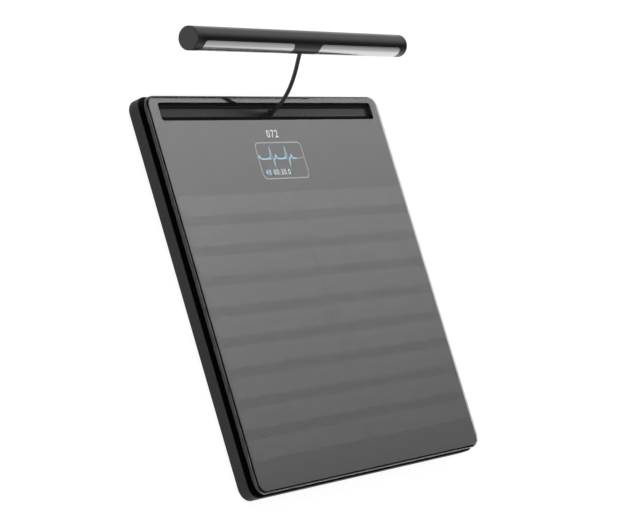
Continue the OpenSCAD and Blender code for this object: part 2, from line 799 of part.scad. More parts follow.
module foot_pad(i) color("#3c3d40") on_ground() at_foot(i) rotate_extrude() polygon([
    [0, 0], [groove_r, 0], [groove_r + groove_slope, groove_depth],
    [groove_r + groove_w - groove_slope, groove_depth], [groove_r + groove_w, 0],
    [pad_r - pad_edge, 0], [pad_r, pad_edge], [pad_r, pad_thick], [0, pad_thick]
]);

module base_screws() color("#9a9b9e") on_ground() at_base_screws() {
    translate([0, 0, base_z + screw_sink]) cylinder(r = screw_head_r, h = screw_head);
    translate([0, 0, base_z + screw_sink]) cylinder(r = screw_r, h = screw_length);
}

// Handle: a tube with two end caps and four metal plates

module grip_window(angle, side, play) facing(angle) linear_extrude(handle_r + 1)
    translate([side * (grip_start + grip_length / 2), 0])
        rounded_rect(grip_length + 2 * play, grip_width + 2 * play, grip_corner_r + play);

module handle_ring(outer, inner, half) translate([-half, 0, 0]) along_x() pipe(outer, inner, 0, 2 * half);

module handle_shell() color("#161718") on_ground() at_handle() difference() {
    handle_ring(handle_r, bore_r, tube_half);
    for (angle = [grip_front_angle, grip_back_angle], side = [-1, 1]) intersection() {
        handle_ring(handle_r + 1, handle_r - grip_thick - grip_play, tube_half - 1);
        grip_window(angle, side, grip_play);
    }
    translate([outlet_offset, 0, 0]) facing(outlet_angle) cylinder(r = outlet_r, h = handle_r + 1);
}

module grip(angle, side) color("#b7b9bc") on_ground() at_handle() intersection() {
    handle_ring(handle_r, handle_r - grip_thick, tube_half - 1);
    grip_window(angle, side, 0);
}

module handle_cap() at_handle() translate([tube_half - spigot_length, 0, 0]) along_x() rotate_extrude()
    polygon(concat(
        [[0, spigot_length], [bore_r - spigot_play - cap_spigot_wall, spigot_length],
         [bore_r - spigot_play - cap_spigot_wall, 0], [bore_r - spigot_play, 0],
         [bore_r - spigot_play, spigot_length], [handle_r, spigot_length]],
        [for (a = arc_points(5, 0, 90))
            [handle_r - cap_edge_r * (1 - cos(a)), spigot_length + cap_length - cap_edge_r * (1 - sin(a))]],
        [[0, spigot_length + cap_length]]));

module handle_cap_right() color("#2c2d30") on_ground() handle_cap();

module handle_cap_left() color("#2c2d30") on_ground() translate([2 * pull_x, 0, 0]) mirror([1, 0, 0]) handle_cap();

module handle_board() color("#1f5b3a") on_ground() at_handle()
    translate([spigot_length + handle_board_end - tube_half, -handle_board_w / 2, -board_thick / 2])
        cube([2 * (tube_half - spigot_length - handle_board_end), handle_board_w, board_thick]);

module handle_magnets() color("#b9babd") on_ground() at_handle() for (s = [-1, 1])
    translate([s * magnet_x, 0, handle_magnet_lift - bore_r]) cylinder(r = magnet_r, h = magnet_thick);

module cord_strain_relief() color("#0e0e0f") on_ground() at_handle() translate([outlet_offset, 0, 0])
    facing(outlet_angle) translate([0, 0, relief_inner_z])
        cylinder(r = outlet_r - relief_play, h = handle_r - outlet_sink - relief_inner_z);

// Cord: an eight-sided tube swept along points; each point is relative to
// the handle's axis or to the exit, so both ends stay seated

cord_sides = 8;

function unit(v) = v / norm(v);

function tangent(p, i) = unit(p[min(i + 1, len(p) - 1)] - p[max(i - 1, 0)]);

function ring(p, i, t) = let (side = unit(cross(t, [0.2, 1, 0.3])), up = cross(side, t))
    [for (k = [0 : cord_sides - 1]) let (a = 360 * (k + 0.5) / cord_sides)
        p[i] + cord_r * (cos(a) * side + sin(a) * up)];

module tube_along(p, t0, t1) {
    n = len(p);
    rings = [for (i = [0 : n - 1]) ring(p, i, i == 0 ? t0 : i == n - 1 ? t1 : tangent(p, i))];
    polyhedron(
        points = [for (r = rings) for (q = r) q],
        faces = concat(
            [[for (k = [0 : cord_sides - 1]) k]],
            [for (i = [0 : n - 2], k = [0 : cord_sides - 1]) let (a = i * cord_sides, b = (k + 1) % cord_sides)
                [a + k, a + cord_sides + k, a + cord_sides + b]],
            [for (i = [0 : n - 2], k = [0 : cord_sides - 1]) let (a = i * cord_sides, b = (k + 1) % cord_sides)
                [a + k, a + cord_sides + b, a + b]],
            [[for (k = [cord_sides - 1 : -1 : 0]) (n - 1) * cord_sides + k]]));
}

outlet_dir = [0, cos(outlet_angle), sin(outlet_angle)];
outlet_point = [pull_x + outlet_offset, handle_y, handle_z] + (handle_r - outlet_sink) * outlet_dir;
// Free stretch between the two ends, from the platform's centre and the glass
cord_points = [
    [-4.6, 177.8, 43.7], [-4.1, 174.3, 40.7], [-3.3, 170.3, 37.1], [-2.4, 166.1, 32.8],
    [-1.4, 161.8, 27.9], [-0.4, 157.7, 22.5], [0.5, 153.9, 16.5], [1.2, 150.6, 10],
    [1.7, 148.1, 3]
];

module cord() color("#151516") on_ground() tube_along(
    concat([outlet_point], [for (q = cord_points) q + [0, 0, glass_top]],
           [[cord_exit_x, exit_y, cord_end_z + 1.5], [cord_exit_x, exit_y, cord_end_z]]),
    outlet_dir, [0, 0, -1]);

module cord_run() color("#151516") on_ground() tube_along(
    concat([[cord_exit_x, exit_y, cord_end_z]],
           [for (a = arc_points(6, 0, 90))
               [cord_exit_x, exit_y - bend_r * (1 - cos(a)), bend_z - bend_r * sin(a)]],
           [for (f = [1, 2, 3]) [cord_exit_x, exit_y - bend_r - (exit_y - bend_r - run_end_y) * f / 3, run_z]]),
    [0, 0, -1], [0, -1, 0]);

// The level stretch ends where it would touch the wound cord
run_end_y = reel_y + sqrt(winding_r * winding_r - (winding_r - 2 * cord_r) * (winding_r - 2 * cord_r)) + 0.5;

base_shell();
neck_ring();
support_frame();
glass_plate();
foot_electrodes_left();
foot_electrodes_right();
handle_cradle();
cord_grommet();
cord_guide();
dock_magnets();
reel_housing();
reel_cover();
brush_contacts();
reel_drum();
reel_spring();
slip_ring();
cord_winding();
cord_run();
display_module();
main_board();
battery_pack();
side_board();
usb_port();
button_switch();
side_button();
load_cell(0);  // load_cell_front_left
load_cell(1);  // load_cell_front_right
load_cell(2);  // load_cell_rear_left
load_cell(3);  // load_cell_rear_right
foot_cup(0);  // foot_cup_front_left
foot_cup(1);  // foot_cup_front_right
foot_cup(2);  // foot_cup_rear_left
foot_cup(3);  // foot_cup_rear_right
foot_pad(0);  // foot_pad_front_left
foot_pad(1);  // foot_pad_front_right
foot_pad(2);  // foot_pad_rear_left
foot_pad(3);  // foot_pad_rear_right
base_screws();
reel_screws();
handle_shell();
handle_cap_left();
handle_cap_right();
grip(grip_front_angle, -1);  // grip_front_left
grip(grip_front_angle, 1);  // grip_front_right
grip(grip_back_angle, -1);  // grip_rear_left
grip(grip_back_angle, 1);  // grip_rear_right
handle_board();
handle_magnets();
cord_strain_relief();
cord();
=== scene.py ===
"""Looks of a smart bathroom scale with a pull-out hand electrode, built round its CAD frame."""

import math

import bpy
import numpy as np
from mathutils import Matrix, Vector


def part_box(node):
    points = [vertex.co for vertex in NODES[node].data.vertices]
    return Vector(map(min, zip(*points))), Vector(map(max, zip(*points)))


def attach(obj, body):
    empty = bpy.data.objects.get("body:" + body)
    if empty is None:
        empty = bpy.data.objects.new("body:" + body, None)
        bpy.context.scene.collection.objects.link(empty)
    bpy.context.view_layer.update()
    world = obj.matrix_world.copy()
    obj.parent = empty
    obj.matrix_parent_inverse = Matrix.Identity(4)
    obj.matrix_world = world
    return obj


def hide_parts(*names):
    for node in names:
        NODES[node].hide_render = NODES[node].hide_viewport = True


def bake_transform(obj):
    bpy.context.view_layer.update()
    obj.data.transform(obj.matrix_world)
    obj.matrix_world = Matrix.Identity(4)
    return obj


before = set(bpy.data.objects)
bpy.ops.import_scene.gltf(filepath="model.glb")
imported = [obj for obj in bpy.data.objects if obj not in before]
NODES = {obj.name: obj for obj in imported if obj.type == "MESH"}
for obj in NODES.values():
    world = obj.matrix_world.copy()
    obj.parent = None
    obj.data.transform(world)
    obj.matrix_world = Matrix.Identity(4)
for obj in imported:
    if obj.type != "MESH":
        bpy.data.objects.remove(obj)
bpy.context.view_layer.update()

bl_info = {
    "name": "Bathroom scale looks",
    "version": (1, 0, 0),
    "blender": (4, 5, 0),
    "location": "View3D > Sidebar > Scale",
    "description": "Dresses the bathroom scale's CAD frame with its finishes, cord, display and stage",
    "category": "Object",
}

MM = 0.001

# Places that the pieces share, read from the frame, in metres
GLASS_LOW, GLASS_HIGH = (np.array(c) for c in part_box("glass_plate"))
CRADLE_LOW, CRADLE_HIGH = (np.array(c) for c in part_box("handle_cradle"))
HANDLE_LOW, HANDLE_HIGH = (np.array(c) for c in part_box("handle_shell"))
GROMMET_LOW, GROMMET_HIGH = (np.array(c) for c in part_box("cord_grommet"))
BASE_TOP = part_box("base_shell")[1][2]
PLATFORM_Y = (GLASS_LOW[1] + GLASS_HIGH[1]) / 2
GLASS_TOP = GLASS_HIGH[2]
GLASS_UNDER = GLASS_LOW[2]
HANDLE_AXIS = (HANDLE_LOW + HANDLE_HIGH) / 2
HANDLE_R = (HANDLE_HIGH[2] - HANDLE_LOW[2]) / 2

# The opening in the glass, the trough's flange under it and the bands of painted shade along the trough
SLOT_BEHIND_CRADLE = 1.4 * MM
SLOT_Y = (CRADLE_LOW[1] + CRADLE_HIGH[1]) / 2 + SLOT_BEHIND_CRADLE
SLOT_WIDTH = 15 * MM
SLOT_CORNER = 2.8 * MM
CRADLE_FLANGE = 4 * MM
TROUGH_SHADE_FRONT = 4.2 * MM
TROUGH_SHADE_REAR = 2.2 * MM
TROUGH_SHADE_BLUR = 0.3 * MM

# The glass: its corner, the curved band along its top edge, and the layers in and on it
GLASS_CORNER = 10 * MM
EDGE_BAND = 2.0 * MM
DARK_LAYER_ABOVE_UNDERSIDE = 0.05 * MM
DARK_LAYER_BELOW_TOP = 0.06 * MM
DARK_LAYER_SLOT_PLAY = 0.6 * MM
DISPLAY_LOW_BELOW_TOP = 0.045 * MM
DISPLAY_HIGH_BELOW_TOP = 0.025 * MM
FILM_LIFT = 0.05 * MM
FILM_THICKNESS = 0.01 * MM
FILM_SLOT_PLAY = 0.1 * MM
BAR_LIFT = 0.07 * MM
# How much wider the clear rim is along the right side than along the others
RIM_EXTRA_RIGHT = 1.6 * MM

# How far the switch's plunger is drawn back, so that the pressed button has room
PLUNGER_SET_BACK = 0.65 * MM

# How far below the base's top its plastic is painted near-black, as painted shade for the gap under the
# glass, and over which height the painted shade fades in
BASE_PAINTED_SHADE_BELOW_TOP = 0.05 * MM
GAP_SHADE_BLUR = 0.2 * MM

# The photograph's camera: place in metres, direction and roll in degrees, lens in millimetres
CAMERA_PLACE = (-1.56937, -0.26450, 1.10904)
CAMERA_AZIMUTH = 9.504
CAMERA_DIP = 34.41
CAMERA_ROLL = 68.06
CAMERA_LENS = 136.57
SENSOR_WIDTH = 36.0
CAMERA_NEAREST, CAMERA_FARTHEST = 0.01, 50

# The cord's free stretch: points given in millimetres, measured from the
# middle of the platform and from the top of the glass
CORD_POINTS = [
    (-4.6, 177.8, 43.7), (-4.1, 174.3, 40.7), (-3.3, 170.3, 37.1), (-2.4, 166.1, 32.8),
    (-1.4, 161.8, 27.9), (-0.4, 157.7, 22.5), (0.5, 153.9, 16.5), (1.2, 150.6, 10.0),
    (1.7, 148.1, 3.0),
]
CORD_R = 1.7 * MM
CORD_STEPS = 4
OUTLET_ANGLE = math.radians(219)
OUTLET_OFFSET = 4.5 * MM
OUTLET_DEPTH = 0.2 * MM
GROMMET_RISE = 1.5 * MM

# Points of one mesh that are closer than this are one point, in metres
MERGE_DISTANCE = 1e-7

# Painted shade: near-black colour that stands in for the shade in the gap under the glass, where no light
# reaches
GAP_PAINTED_SHADE = (0.0008, 0.0008, 0.0008)


# Sizes and colours that a user may change

class GlassLooks(bpy.types.PropertyGroup):
    """Finish of the glass platform and its foot electrodes"""
    print_colour: bpy.props.FloatVectorProperty(
        name="Print", description="Colour of the dark layer that shows through the glass",
        size=3, subtype="COLOR", default=(0.004, 0.004, 0.0043), min=0, max=1)
    clear_rim: bpy.props.FloatProperty(
        name="Clear rim", description="Clear glass left between the dark layer and the glass's outline",
        default=1.7 * MM, min=0.5 * MM, max=8 * MM, unit="LENGTH")
    film_strength: bpy.props.FloatProperty(
        name="Mirror film", description="How strongly the film over the whole glass mirrors the room",
        default=0.132, min=0, max=1, subtype="FACTOR")
    coating_strength: bpy.props.FloatProperty(
        name="Electrode coating", description="How strongly the foot electrodes show on the glass",
        default=0.040, min=0, max=1, subtype="FACTOR")


class DisplayLooks(bpy.types.PropertyGroup):
    """What the display shows through the glass"""
    trace_colour: bpy.props.FloatVectorProperty(
        name="Trace", description="Colour of the drawn part of the heart trace",
        size=3, subtype="COLOR", default=(0.30, 0.66, 0.84), min=0, max=1)
    text_colour: bpy.props.FloatVectorProperty(
        name="Figures", description="Colour of the figures",
        size=3, subtype="COLOR", default=(0.80, 0.80, 0.82), min=0, max=1)
    frame_colour: bpy.props.FloatVectorProperty(
        name="Frame", description="Colour of the frame round the trace",
        size=3, subtype="COLOR", default=(0.30, 0.30, 0.31), min=0, max=1)
    line_width: bpy.props.FloatProperty(
        name="Line width", description="Width of the trace's line",
        default=1.15 * MM, min=0.3 * MM, max=2 * MM, unit="LENGTH")


class PlasticLooks(bpy.types.PropertyGroup):
    """Finish of the moulded parts, the metal plates and the rubber parts"""
    shell_colour: bpy.props.FloatVectorProperty(
        name="Base", description="Colour of the base shell",
        size=3, subtype="COLOR", default=(0.022, 0.022, 0.0235), min=0, max=1)
    handle_colour: bpy.props.FloatVectorProperty(
        name="Handle", description="Colour of the handle's tube",
        size=3, subtype="COLOR", default=(0.010, 0.010, 0.011), min=0, max=1)
    steel_colour: bpy.props.FloatVectorProperty(
        name="Steel", description="Colour of the hand electrodes",
        size=3, subtype="COLOR", default=(0.66, 0.66, 0.67), min=0, max=1)
    rubber_colour: bpy.props.FloatVectorProperty(
        name="Rubber", description="Colour of the feet",
        size=3, subtype="COLOR", default=(0.030, 0.030, 0.032), min=0, max=1)


class StageLooks(bpy.types.PropertyGroup):
    """Light and floor of the studio"""
    floor_glow: bpy.props.FloatProperty(
        name="Floor glow", description="Light that the floor gives off by itself",
        default=0.90, min=0, max=2)
    floor_albedo: bpy.props.FloatProperty(
        name="Floor paleness", description="Share of the light that the floor throws back",
        default=0.25, min=0, max=1, subtype="FACTOR")
    softbox: bpy.props.FloatProperty(
        name="Softbox", description="Brightness of the tall softbox on the right and behind",
        default=1.4, min=0, max=20)
    back: bpy.props.FloatProperty(
        name="Camera-side light", description="Brightness of the light panel above the camera",
        default=3.6, min=0, max=20)


# Shader maths

class Signal:
    """A shader socket that takes part in Python arithmetic by adding Math nodes."""

    def __init__(self, sheet, socket):
        self.sheet = sheet
        self.socket = socket

    def _math(self, operation, first, second=None):
        inputs = {0: first} if second is None else {0: first, 1: second}
        return self.sheet.node("ShaderNodeMath", {"operation": operation}, inputs)

    def __add__(self, other):
        return self._math("ADD", self, other)

    def __radd__(self, other):
        return self._math("ADD", other, self)

    def __sub__(self, other):
        return self._math("SUBTRACT", self, other)

    def __rsub__(self, other):
        return self._math("SUBTRACT", other, self)

    def __mul__(self, other):
        return self._math("MULTIPLY", self, other)

    def __rmul__(self, other):
        return self._math("MULTIPLY", other, self)

    def __truediv__(self, other):
        return self._math("DIVIDE", self, other)

    def apply(self, operation, other=None):
        """Any other Math operation on this value, such as SINE or ABSOLUTE."""
        return self._math(operation, self, other)

    def step(self, low, high):
        """0 below low, 1 above high, smooth between them."""
        return self.sheet.node(
            "ShaderNodeMapRange", {"interpolation_type": "SMOOTHSTEP"},
            {"Value": self, "From Min": low, "From Max": high})


class Sheet:
    """A node tree that is filled by calls. node() is the one way to add a node."""

    def __init__(self, tree):
        self.tree = tree
        tree.nodes.clear()

    def node(self, kind, settings=None, inputs=None, out=0):
        """Adds a node, sets its settings, then its sockets' values or links, and returns an output."""
        made = self.tree.nodes.new(kind)
        for key, value in (settings or {}).items():
            setattr(made, key, value)
        for key, value in (inputs or {}).items():
            if isinstance(value, Signal):
                self.tree.links.new(value.socket, made.inputs[key])
            else:
                made.inputs[key].default_value = value
        return Signal(self, made.outputs[out]) if len(made.outputs) else made


class Finish(Sheet):
    """A material on Object coordinates, most often with one Principled shader."""

    def __init__(self, name, slot_name):
        self.material = bpy.data.materials.new(name)
        self.material.use_nodes = True
        self.slot_name = slot_name
        super().__init__(self.material.node_tree)
        self.place = self.node("ShaderNodeTexCoord", out=3)

    def noise(self, scale, detail=3.0, stretch=(1, 1, 1)):
        """Noise with a grain of about 1 / scale metres, stretched along some axes."""
        mapped = self.node("ShaderNodeMapping", None, {"Vector": self.place, "Scale": stretch})
        return self.node("ShaderNodeTexNoise", None, {"Vector": mapped, "Scale": scale, "Detail": detail})

    def tint(self, amount, dark, light):
        """A colour between dark and light."""
        return self.node("ShaderNodeMix", {"data_type": "RGBA"},
                         {0: amount, 6: (*dark, 1), 7: (*light, 1)}, out=2)

    def bump(self, height, strength, distance):
        return self.node("ShaderNodeBump", None,
                         {"Height": height, "Strength": strength, "Distance": distance})

    def shader(self, **inputs):
        """Ends the material in a Principled shader with these sockets."""
        named = {key.replace("_", " "): value for key, value in inputs.items()}
        made = self.node("ShaderNodeBsdfPrincipled", None, named)
        self.node("ShaderNodeOutputMaterial", None, {"Surface": made})
        return self


def scaled(colour, factor):
    return tuple(min(1.0, c * factor) for c in colour)


def moulded(name, slot_name, colour, roughness, grain=2600.0, gloss=0.5, painted_shade_above=None):
    """Satin moulded plastic: a fine spark-eroded grain, with slow changes in gloss and colour.
    Above a given height the plastic is painted near-black: painted shade, as inside the gap under the
    glass."""
    f = Finish(name, slot_name)
    fine = f.noise(grain, 2.0)
    broad = f.noise(18.0, 2.0)
    shade = f.tint(broad, scaled(colour, 0.85), scaled(colour, 1.15))
    # Painted shade: near-black above the given height, for the gap under the glass
    if painted_shade_above is not None:
        height = f.node("ShaderNodeSeparateXYZ", None, {"Vector": f.place}, out=2)
        painted_shade_share = height.step(painted_shade_above - GAP_SHADE_BLUR, painted_shade_above)
        shade = f.node("ShaderNodeMix", {"data_type": "RGBA"},
                       {0: painted_shade_share, 6: shade, 7: (*GAP_PAINTED_SHADE, 1)}, out=2)
    return f.shader(
        Base_Color=shade,
        Roughness=roughness - 0.04 + broad * 0.08,
        IOR=1.46,
        Specular_IOR_Level=gloss,
        Normal=f.bump(fine, 0.12, 0.02 * MM))


def trough_with_painted_shade(colour, front, rear):
    """Satin plastic with painted shade: glossless dark bands in front of one line across Y and behind
    another.
    """
    f = Finish("trough_plastic_painted_shade", "frame_plastic")
    fine = f.noise(2200.0, 2.0)
    broad = f.noise(18.0, 2.0)
    satin = f.node("ShaderNodeBsdfPrincipled", None, {
        "Base Color": f.tint(broad, scaled(colour, 0.85), scaled(colour, 1.15)),
        "Roughness": 0.24 + broad * 0.06,
        "IOR": 1.58,
        "Normal": f.bump(fine, 0.12, 0.01 * MM)})
    # Painted shade: dark matt plastic without gloss, for the shaded bands of the trough
    shade_band = f.node("ShaderNodeBsdfPrincipled", None, {
        "Base Color": f.tint(fine, (0.014, 0.014, 0.014), (0.020, 0.020, 0.020)),
        "Roughness": 0.75,
        "Specular IOR Level": 0.0})
    across = f.node("ShaderNodeSeparateXYZ", None, {"Vector": f.place}, out=1)
    # Painted shade: the glossless dark bands along the trough's front and rear stand in for the shade there
    outside_shade_bands = across.step(front - TROUGH_SHADE_BLUR, front) * (1 - across.step(rear, rear + TROUGH_SHADE_BLUR))
    mixed = f.node("ShaderNodeMixShader", None, {0: outside_shade_bands, 1: shade_band, 2: satin})
    f.node("ShaderNodeOutputMaterial", None, {"Surface": mixed})
    return f


def rubbery(name, slot_name, colour, roughness=0.62, grain=1500.0):
    """Matt rubber: a soft grain and a faint bloom."""
    f = Finish(name, slot_name)
    fine = f.noise(grain, 4.0)
    broad = f.noise(60.0, 2.0)
    return f.shader(
        Base_Color=f.tint(broad, scaled(colour, 0.8), scaled(colour, 1.25)),
        Roughness=roughness - 0.05 + fine * 0.1,
        Normal=f.bump(fine, 0.25, 0.03 * MM))


def brushed(name, slot_name, colour):
    """Brushed metal: long fine lines along X in the surface, in gloss and in colour."""
    f = Finish(name, slot_name)
    lines = f.noise(9000.0, 3.0, (0.02, 1, 1))
    broad = f.noise(25.0, 2.0)
    return f.shader(
        Base_Color=f.tint(lines, scaled(colour, 0.95), scaled(colour, 1.04)),
        Metallic=1.0,
        Roughness=0.22 + lines * 0.03 + broad * 0.03,
        Normal=f.bump(lines, 0.02, 0.01 * MM))


def plain_metal(name, slot_name, colour, roughness):
    """Plain metal with faint handling marks."""
    f = Finish(name, slot_name)
    marks = f.noise(700.0, 5.0)
    return f.shader(
        Base_Color=f.tint(marks, scaled(colour, 0.9), scaled(colour, 1.05)),
        Metallic=1.0,
        Roughness=roughness - 0.06 + marks * 0.14,
        Normal=f.bump(marks, 0.05, 0.01 * MM))


def clear_glass():
    """Toughened clear glass with a barely uneven polish, and a faint bloom where it has been wiped."""
    f = Finish("clear_glass", "dark_glass")
    waves = f.noise(9.0, 1.0)
    bloom = f.noise(40.0, 4.0, (1, 0.4, 1))
    return f.shader(
        Base_Color=f.tint(bloom, (0.92, 0.94, 0.94), (0.94, 0.96, 0.96)),
        Transmission_Weight=1.0,
        Roughness=0.0,
        IOR=1.5,
        Normal=f.bump(waves, 0.02, 0.05 * MM))


def dark_print(colour):
    """Dark layer inside the glass, with a faint cloudiness in the ink."""
    f = Finish("dark_print", "dark_glass")
    cloud = f.noise(30.0, 4.0)
    return f.shader(
        Base_Color=f.tint(cloud, scaled(colour, 0.85), scaled(colour, 1.15)),
        Roughness=0.5 + cloud * 0.1,
        Specular_IOR_Level=0.0)


def coating(name, slot_name, strength):
    """Thin conductive coating: a weak mirror, slightly cloudy, over what lies under it."""
    f = Finish(name, slot_name)
    cloud = f.noise(14.0, 3.0)
    return f.shader(
        Base_Color=(0.90, 0.90, 0.91, 1),
        Metallic=1.0,
        Roughness=0.02 + cloud * 0.02,
        Alpha=strength * 0.96 + cloud * (strength * 0.08))


def glowing(name, colour):
    """Lit pixels of the display: fine rows of dots that merge into a line."""
    f = Finish(name, "display_panel")
    dots = f.noise(3000.0, 0.0)
    return f.shader(
        Base_Color=(0.02, 0.02, 0.02, 1),
        Roughness=0.6,
        Emission_Color=f.tint(dots, scaled(colour, 0.92), scaled(colour, 1.05)),
        Emission_Strength=1.0)


def board_finish():
    """Circuit board: solder mask with a pattern of tracks under it."""
    f = Finish("solder_mask", "circuit_board")
    tracks = f.node("ShaderNodeTexVoronoi", {"distance": "MANHATTAN"},
                    {"Vector": f.place, "Scale": 320.0}, out=0)
    lines = tracks.step(0.42, 0.5)
    return f.shader(
        Base_Color=f.tint(lines, (0.010, 0.085, 0.035), (0.025, 0.16, 0.07)),
        Roughness=0.35 + lines * 0.1,
        Normal=f.bump(lines, 0.2, 0.03 * MM))


def wrap_finish():
    """Battery wrap: smooth film that follows the cells, with slight creases."""
    f = Finish("battery_wrap_film", "battery_wrap")
    creases = f.noise(90.0, 3.0, (1, 0.3, 1))
    return f.shader(
        Base_Color=f.tint(creases, (0.05, 0.085, 0.17), (0.07, 0.11, 0.21)),
        Roughness=0.28 + creases * 0.12,
        Normal=f.bump(creases, 0.3, 0.3 * MM))


# Meshes

def mesh_piece(name, points, faces, smooth=True):
    """An object at the origin from an array of points and a list of faces."""
    mesh = bpy.data.meshes.new(name)
    corners = [tuple(p) for p in np.asarray(points, float)]
    mesh.from_pydata(corners, [], [tuple(int(i) for i in face) for face in faces])
    mesh.validate()
    mesh.polygons.foreach_set("use_smooth", [smooth] * len(mesh.polygons))
    mesh.update()
    made = bpy.data.objects.new(name, mesh)
    bpy.context.scene.collection.objects.link(made)
    return made


def grid_faces(rows, columns):
    """Quads between rows of points, each row a closed ring, as an array of four indices."""
    i = np.arange(rows - 1)[:, None] * columns
    j = np.arange(columns)[None, :]
    k = (j + 1) % columns
    return np.stack([i + j, i + k, i + columns + k, i + columns + j], -1).reshape(-1, 4)


def skin_of(node, angle=35.0):
    """A merged copy of a CAD node's mesh with smooth shading up to an angle, weighted by face area."""
    source = NODES[node].data
    raw = np.empty(len(source.vertices) * 3)
    source.vertices.foreach_get("co", raw)
    raw = raw.reshape(-1, 3)
    cells = np.round(raw / MERGE_DISTANCE).astype(np.int64)
    _, first, back = np.unique(cells, axis=0, return_index=True, return_inverse=True)
    back = back.reshape(-1)
    corners = np.empty(len(source.loops), np.int64)
    source.loops.foreach_get("vertex_index", corners)
    triangles = back[corners].reshape(-1, 3)
    sound = ((triangles[:, 0] != triangles[:, 1]) & (triangles[:, 1] != triangles[:, 2])
             & (triangles[:, 0] != triangles[:, 2]))
    made = mesh_piece(node + "_skin", raw[first], triangles[sound])
    made.data.set_sharp_from_angle(angle=math.radians(angle))
    weighted = made.modifiers.new("even_shading", "WEIGHTED_NORMAL")
    weighted.keep_sharp = True
    weighted.weight = 90
    return made


def finish_piece(piece, body, finish, *nodes):
    """Gives a piece its material, its body and the nodes that it stands for."""
    piece.data.materials.clear()
    piece.data.materials.append(finish.material)
    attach(piece, body)
    if nodes:
        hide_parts(*nodes)
    return piece


def dress(node, finish):
    """Puts a material on a CAD node that keeps its own mesh."""
    NODES[node].data.materials.clear()
    NODES[node].data.materials.append(finish.material)


def skinned(node, body, finish, angle=35.0):
    return finish_piece(skin_of(node, angle), body, finish, node)


def hold_within(mesh, axis, low=-math.inf, high=math.inf):
    """Moves each point that lies beyond low or high along an axis back to that limit."""
    points = np.empty(len(mesh.vertices) * 3)
    mesh.vertices.foreach_get("co", points)
    points[axis::3] = np.clip(points[axis::3], low, high)
    mesh.vertices.foreach_set("co", points)
    mesh.update()


def flat_shape(name, loops, low, high):
    """A plate from closed 2-D outlines: the first is its rim, the others are holes in it."""
    curve = bpy.data.curves.new(name, "CURVE")
    curve.dimensions = "2D"
    curve.fill_mode = "BOTH"
    curve.extrude = (high - low) / 2
    for loop in loops:
        spline = curve.splines.new("POLY")
        spline.points.add(len(loop) - 1)
        spline.points.foreach_set("co", np.column_stack(
            [loop, np.zeros(len(loop)), np.ones(len(loop))]).ravel())
        spline.use_cyclic_u = True
    return flat_mesh(name, curve, (0, 0, (low + high) / 2))


def flat_mesh(name, curve, shift):
    """The mesh of a flat curve or text, moved to its place."""
    holder = bpy.data.objects.new(name, curve)
    bpy.context.scene.collection.objects.link(holder)
    bpy.context.view_layer.update()
    mesh = bpy.data.meshes.new_from_object(holder)
    bpy.data.objects.remove(holder)
    mesh.transform(Matrix.Translation(Vector(shift)))
    made = bpy.data.objects.new(name, mesh)
    bpy.context.scene.collection.objects.link(made)
    return made


def rounded_loop(cx, cy, half_x, half_y, r, steps=10):
    """Closed outline of a rectangle with quarter-circle corners, anticlockwise."""
    t = np.linspace(0, np.pi / 2, steps + 1)
    corners = []
    for k, (sx, sy) in enumerate([(1, 1), (-1, 1), (-1, -1), (1, -1)]):
        a = t + k * np.pi / 2
        corners.append(np.column_stack([
            cx + sx * (half_x - r) + r * np.cos(a), cy + sy * (half_y - r) + r * np.sin(a)]))
    return np.concatenate(corners)


def ribbon(name, points, width, low, high, shortest_cosine=0.35):
    """A flat band of even width along points: at each point its sides are offset along the mitred
    normal, at two heights, and the four rows are joined into a closed tube. The offset is half the
    width over the cosine of half the bend, and the cosine is taken as no less than a given one."""
    p = np.asarray(points, float)
    d = np.diff(p, axis=0)
    d /= np.linalg.norm(d, axis=1)[:, None]
    n = np.column_stack([-d[:, 1], d[:, 0]])
    before = np.vstack([n[:1], n])
    after = np.vstack([n, n[-1:]])
    mitre = before + after
    mitre /= np.linalg.norm(mitre, axis=1)[:, None]
    cosine = np.clip((mitre * after).sum(1), shortest_cosine, 1)
    side = mitre * (width / 2 / cosine)[:, None]
    left, right = p + side, p - side
    rows = np.stack([np.column_stack([edge, np.full(len(p), z)])
                     for edge, z in ((left, low), (right, low), (right, high), (left, high))], axis=1)
    last = 4 * (len(p) - 1)
    faces = [tuple(q) for q in grid_faces(len(p), 4)[:, ::-1]]
    faces += [(0, 1, 2, 3), (last + 3, last + 2, last + 1, last)]
    return mesh_piece(name, rows.reshape(-1, 3), faces, smooth=False)


def smooth_path(points, steps):
    """Points along a Catmull-Rom curve through the given ones, steps to each span."""
    p = np.asarray(points, float)
    p = np.vstack([2 * p[0] - p[1], p, 2 * p[-1] - p[-2]])
    t = np.linspace(0, 1, steps, endpoint=False)[None, :, None]
    a, b, c, d = (p[k:len(p) - 3 + k][:, None] for k in range(4))
    square = (2 * a - 5 * b + 4 * c - d) * t ** 2
    cube = (3 * b - a - 3 * c + d) * t ** 3
    curve = 0.5 * (2 * b + (c - a) * t + square + cube)
    return np.vstack([curve.reshape(-1, 3), p[-2]])


